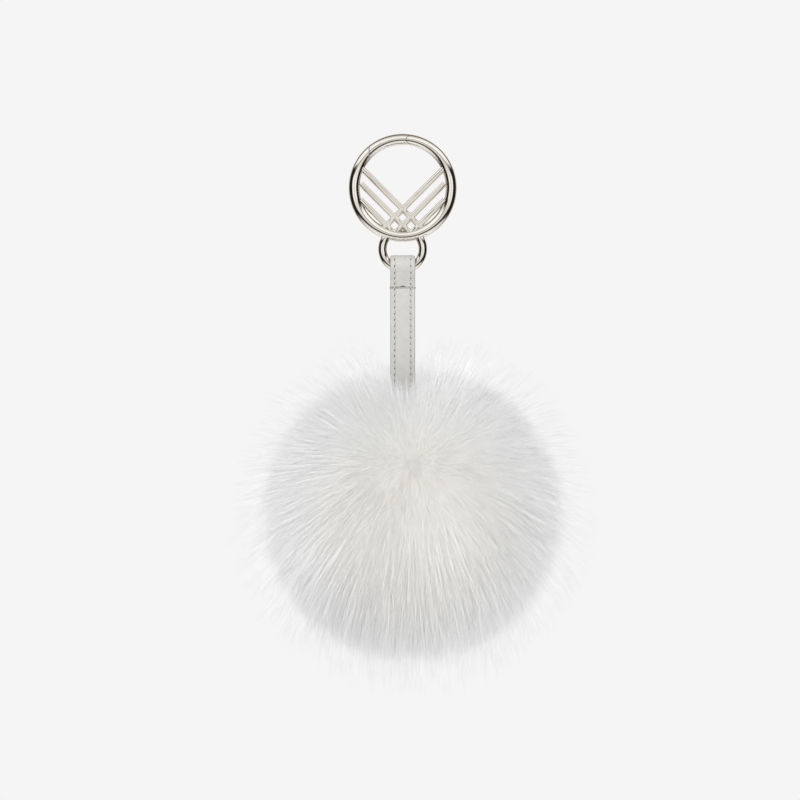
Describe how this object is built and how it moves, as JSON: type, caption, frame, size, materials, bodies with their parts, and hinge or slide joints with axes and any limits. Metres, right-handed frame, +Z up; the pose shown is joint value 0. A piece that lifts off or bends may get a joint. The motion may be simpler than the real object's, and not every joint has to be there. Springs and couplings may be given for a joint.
{
  "type": "plush keychain",
  "caption": "Fur ball charm on a folded leather strap, hung from a round clip ring with an inward-opening sprung gate and a lattice brace.",
  "frame": {"origin": "centre of the clip ring, at the middle of its wire", "axes": "+Z up as the charm hangs, +Y along the ring's own axis towards the back, so the front faces -Y, and +X to the right seen from the front"},
  "size_m": [0.12, 0.12, 0.1995],
  "materials": {
    "clasp_metal": "polished",
    "spring_steel": "satin",
    "strap_leather": "satin",
    "lining_leather": "matte",
    "sewing_thread": "matte",
    "anchor_plastic": "matte",
    "pelt_skin": "matte",
    "stuffing_fibre": "matte",
    "fur": "matte"
  },
  "bodies": {
    "clasp": {"ring_body": "clasp_metal", "brace": "clasp_metal", "strap_loop": "clasp_metal", "hinge_pin": "clasp_metal", "gate_spring": "spring_steel"},
    "gate": {"gate": "clasp_metal"},
    "strap": {"strap_face": "strap_leather", "strap_lining": "lining_leather", "tack_thread": "sewing_thread"},
    "pompom": {"tail_front": "strap_leather", "tail_lining": "lining_leather", "tail_back": "strap_leather", "anchor_disc": "anchor_plastic", "anchor_rivet": "clasp_metal", "pelt": "pelt_skin", "gather_thread": "sewing_thread", "stuffing": "stuffing_fibre", "fur_coat": "fur"}
  },
  "joints": [
    {"name": "gate_hinge", "type": "hinge", "parent": "clasp", "child": "gate", "pos_m": [0.00249, 0, 0.01773], "axis": [0, -1, 0], "range_deg": [0, 32], "stiffness_Nm_per_rad": 0.015, "springref_deg": -22.92, "deforming": ["gate_spring"]},
    {"name": "strap_swing", "type": "hinge", "parent": "clasp", "child": "strap", "pos_m": [0, 0, -0.0292], "axis": [1, 0, 0], "range_deg": [-90, 90]},
    {"name": "strap_bend", "type": "hinge", "parent": "strap", "child": "pompom", "pos_m": [0, 0, -0.057], "axis": [1, 0, 0], "range_deg": [-50, 50]}
  ]
}
